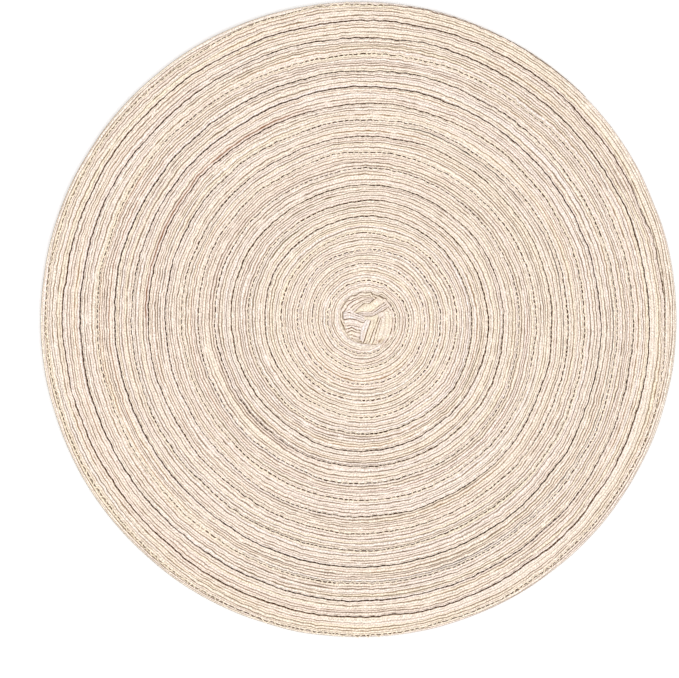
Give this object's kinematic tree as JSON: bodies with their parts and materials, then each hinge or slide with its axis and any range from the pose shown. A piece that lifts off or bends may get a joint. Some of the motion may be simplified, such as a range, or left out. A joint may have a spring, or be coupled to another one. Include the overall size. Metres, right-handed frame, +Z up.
{
  "type": "round fabric placemat",
  "caption": "Round flat placemat of one soft yarn tape, wound outwards from a small folded knot and sewn turn to turn.",
  "frame": {"origin": "middle of the flat underside, at the centre of the round outline", "axes": "+Z up, out of the ribbed top; +X to the right and +Y to the top of the mat as it is seen from above"},
  "size_m": [0.38, 0.38, 0.0041],
  "materials": {
    "yarn": "matt soft yarn, cream with tan, pinkish and pale lilac runs and brown to near-black seams"
  },
  "bodies": {
    "root": {"mat": "yarn"}
  },
  "joints": []
}
